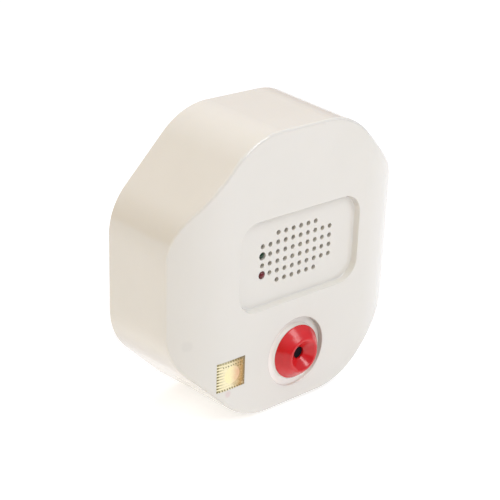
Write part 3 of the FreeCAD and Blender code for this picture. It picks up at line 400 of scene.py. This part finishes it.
def foil_material():
    m = Mat("embossed_gold_foil")
    x, y, z = m.xyz()
    u = m.ramp(x, LX0 * MM, LX1 * MM)
    v = m.ramp(z, LZ0 * MM, LZ1 * MM)
    waver = m.noise(900.0, 3.0, 0.6)
    speck = m.noise(2600.0, 2.0, 0.6)
    tone = m.math("ADD", u, m.math("MULTIPLY", m.math("SUBTRACT", waver, 0.5), 0.22))
    field = m.mix(m.ramp(tone, 0.42, 0.92, 0.0, 1.0, True), (0.88, 0.80, 0.53), (0.50, 0.29, 0.10))
    # fine ruled lines, strongest at the left end
    rule = m.math("COSINE", m.math("MULTIPLY", m.math("SUBTRACT", z, LZ0 * MM), 2 * math.pi / (1.16 * MM)))
    line = m.ramp(rule, 0.1, -0.7)
    left = m.ramp(m.math("ADD", u, m.math("MULTIPLY", waver, 0.10)), 0.34, 0.10, 0.10, 1.0, True)
    field = m.mix(m.math("MULTIPLY", m.math("MULTIPLY", line, left), 0.66), field, (0.22, 0.19, 0.07))
    # frame: broken dark rows along the edges, a darker band on the right
    olive = (0.15, 0.12, 0.030)
    wob = m.math("MULTIPLY", m.math("SUBTRACT", waver, 0.5), 0.0009)
    tick = m.math("SINE", m.math("MULTIPLY", m.math("ADD", m.math("ADD", x, wob), m.math("MULTIPLY", z, 0.4)), 2 * math.pi / (1.12 * MM)))
    dash = m.ramp(tick, -0.5, 0.2)
    top = m.math("MULTIPLY", m.ramp(v, 0.915, 0.935), m.math("MULTIPLY", m.ramp(tick, -0.9, -0.3, 0.35, 1.0), m.ramp(u, 0.05, 0.60, 0.45, 1.0)))
    foot = m.math("MULTIPLY", m.ramp(v, 0.085, 0.055), dash)
    side = m.math("MULTIPLY", m.ramp(u, 0.075, 0.050), m.ramp(rule, 0.5, -0.2))
    field = m.mix(m.math("MULTIPLY", m.math("MAXIMUM", m.math("MAXIMUM", top, foot), side), 0.85), field, olive)
    inner = m.math("MULTIPLY", m.math("MULTIPLY", m.ramp(v, 0.795, 0.815), m.ramp(v, 0.865, 0.845)), m.ramp(u, 0.13, 0.20))
    field = m.mix(m.math("MULTIPLY", m.math("MULTIPLY", inner, m.ramp(m.math("MULTIPLY", tick, -1.0), -0.3, 0.3)), 0.80), field, olive)
    third = m.math("MULTIPLY", m.math("MULTIPLY", m.ramp(v, 0.705, 0.725), m.ramp(v, 0.775, 0.755)), m.ramp(u, 0.42, 0.55))
    field = m.mix(m.math("MULTIPLY", m.math("MULTIPLY", third, dash), 0.70), field, olive)
    right = m.ramp(u, 0.905, 0.940)
    field = m.mix(m.math("MULTIPLY", right, 0.78), field, (0.22, 0.17, 0.09))
    corner = m.math("MULTIPLY", m.ramp(v, 0.86, 0.95), m.ramp(u, 0.70, 0.95))
    field = m.mix(m.math("MULTIPLY", corner, 0.75), field, (0.20, 0.17, 0.11))
    dark = m.math("MULTIPLY", m.ramp(speck, 0.50, 0.62), m.ramp(u, 0.30, 0.75, 0.25, 1.0))
    field = m.mix(m.math("MULTIPLY", dark, 0.45), field, (0.24, 0.16, 0.05))
    light = m.math("MULTIPLY", m.ramp(m.noise(1500.0, 2.0, 0.5), 0.60, 0.72), m.ramp(u, 0.55, 0.80))
    field = m.mix(m.math("MULTIPLY", light, 0.45), field, (0.86, 0.72, 0.45))
    # medallion
    d = m.node("ShaderNodeVectorMath", operation="DISTANCE")
    flat = m.node("ShaderNodeCombineXYZ")
    m.link(x, flat.inputs[0])
    m.link(z, flat.inputs[2])
    m.link(flat.outputs[0], d.inputs[0])
    d.inputs[1].default_value = (MEDAL[0] * MM, 0.0, MEDAL[1] * MM)
    rad = d.outputs["Value"]
    inside = m.ramp(rad, (MEDAL[2] + 0.15) * MM, (MEDAL[2] - 0.20) * MM, 0.0, 1.0, True)
    glow = m.ramp(m.math("ADD", x, m.math("MULTIPLY", m.math("SUBTRACT", waver, 0.5), 0.0014)), -32.2 * MM, -27.8 * MM, 0.0, 1.0, True)
    blotch = m.noise(620.0, 3.0, 0.6)
    disc = m.mix(glow, (0.90, 0.82, 0.47), (0.72, 0.45, 0.27))
    disc = m.mix(m.ramp(blotch, 0.42, 0.66, 0.0, 0.30), disc, (0.80, 0.72, 0.50))
    rings = m.math("COSINE", m.math("MULTIPLY", rad, 2 * math.pi / (0.9 * MM)))
    disc = m.mix(m.ramp(rings, 0.4, 1.0, 0.0, 0.18), disc, (0.76, 0.62, 0.32))
    col = m.mix(inside, field, disc)
    lip = m.math("MULTIPLY", m.ramp(rad, (MEDAL[2] - 0.25) * MM, MEDAL[2] * MM), m.ramp(rad, (MEDAL[2] + 0.45) * MM, (MEDAL[2] + 0.15) * MM))
    col = m.mix(m.math("MULTIPLY", m.math("MULTIPLY", lip, m.ramp(u, 0.45, 0.85)), 0.5), col, (0.42, 0.26, 0.10))
    m.set(Base_Color=col, Roughness=m.ramp(speck, 0.3, 0.7, 0.30, 0.46), Metallic=0.75, IOR=1.5,
          Normal=m.bump(m.math("ADD", waver, speck), 0.00002, 0.5))
    return m.mat


label = foil_sheet()
give(foil_material(), label)
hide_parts("foil_label")
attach(label, "root")

# ------------------------------------------------------------------- stage
bpy.ops.mesh.primitive_grid_add(x_subdivisions=24, y_subdivisions=24, size=8.0, location=(0, 0, cad_box[0][2]))
floor = bpy.context.object
floor.name = "floor"
fm = Mat("floor_paper")
fn = fm.noise(9.0, 3.0, 0.5)
# painted light: the floor glows more round the object's lower left, where the object keeps the room's light off it,
# filling in its contact shadow
far = fm.node("ShaderNodeVectorMath", operation="DISTANCE")
fm.link(fm.co, far.inputs[0])
far.inputs[1].default_value = (-0.034, -0.018, 0.0)
shadow_fill_fade = fm.math("EXPONENT", fm.math("DIVIDE", far.outputs["Value"], -0.042))
glow = fm.node("ShaderNodeMath", operation="MULTIPLY_ADD", name="floor_painted_shadow_fill")
fm.link(shadow_fill_fade, glow.inputs[0])
glow.inputs[1].default_value = 0.25
glow.inputs[2].default_value = 0.30
fm.set(Base_Color=fm.mix(fm.ramp(fn, 0.3, 0.7), (0.80, 0.80, 0.80), (0.82, 0.82, 0.82)), Roughness=0.9, Emission_Color=(1.0, 1.0, 1.0),
       Emission_Strength=glow.outputs[0], Normal=fm.bump(fm.noise(900.0, 3.0, 0.6), 0.00002, 0.2))
floor.data.materials.append(fm.mat)

world = bpy.data.worlds.new("studio")
scene.world = world
world.use_nodes = True
wt = world.node_tree
wt.nodes.clear()
wo = wt.nodes.new("ShaderNodeOutputWorld")
bg = wt.nodes.new("ShaderNodeBackground")
wt.links.new(bg.outputs[0], wo.inputs[0])
gc = wt.nodes.new("ShaderNodeTexCoord")
sx = wt.nodes.new("ShaderNodeSeparateXYZ")
wt.links.new(gc.outputs["Generated"], sx.inputs[0])

# soft studio surround: an even base and one broad glow for each side
SKY = {"base": (0.010, 0.010, 0.010), "up": (1.100, 1.145, 1.220), "right": (0.210, 0.250, 0.300), "left": (0.330, 0.225, 0.020),
       "front": (0.030, 0.040, 0.200), "back": (0.740, 0.545, 0.430)}
total = None
for key, axis, sign in (("base", None, 0), ("up", 2, 1), ("right", 0, 1), ("left", 0, -1), ("front", 1, -1), ("back", 1, 1)):
    acc = wt.nodes.new("ShaderNodeVectorMath")
    acc.operation = "MULTIPLY_ADD"
    acc.name = "sky_" + key
    acc.inputs[0].default_value = SKY[key]
    if axis is None:
        acc.inputs[1].default_value = (1.0, 1.0, 1.0)
    else:
        side = wt.nodes.new("ShaderNodeMath")
        side.operation = "MULTIPLY"
        side.inputs[1].default_value = float(sign)
        side.use_clamp = True
        wt.links.new(sx.outputs[axis], side.inputs[0])
        glow = wt.nodes.new("ShaderNodeMath")
        glow.operation = "POWER"
        glow.inputs[1].default_value = 1.5
        wt.links.new(side.outputs[0], glow.inputs[0])
        wt.links.new(glow.outputs[0], acc.inputs[1])
    if total is None:
        acc.inputs[2].default_value = (0.0, 0.0, 0.0)
    else:
        wt.links.new(total, acc.inputs[2])
    total = acc.outputs[0]
wt.links.new(total, bg.inputs["Color"])
bg.inputs["Strength"].default_value = 1.0


def softbox(name, az, el, dist, w, h, watts, color=(1, 1, 1)):
    """Area light; azimuth 0 is straight in front of the part, 90 on its right."""
    a, e = math.radians(az), math.radians(el)
    d = Vector((math.sin(a) * math.cos(e), -math.cos(a) * math.cos(e), math.sin(e)))
    li = bpy.data.lights.new(name, "AREA")
    li.shape = "RECTANGLE"
    li.size, li.size_y = w, h
    li.energy = watts
    li.color = color
    o = bpy.data.objects.new(name, li)
    scene.collection.objects.link(o)
    o.location = Vector((0, -0.03, 0)) + d * dist
    o.rotation_euler = d.to_track_quat("Z", "Y").to_euler()
    return o


softbox("key", 20, 54, 1.2, 0.42, 0.46, 3.25)
softbox("accent", 7, 35, 1.2, 0.34, 0.26, 2.5)

# -------------------------------------------------------------------- end
for nm in nodes:
    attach(nodes[nm], "root") if nodes[nm].parent is None else None
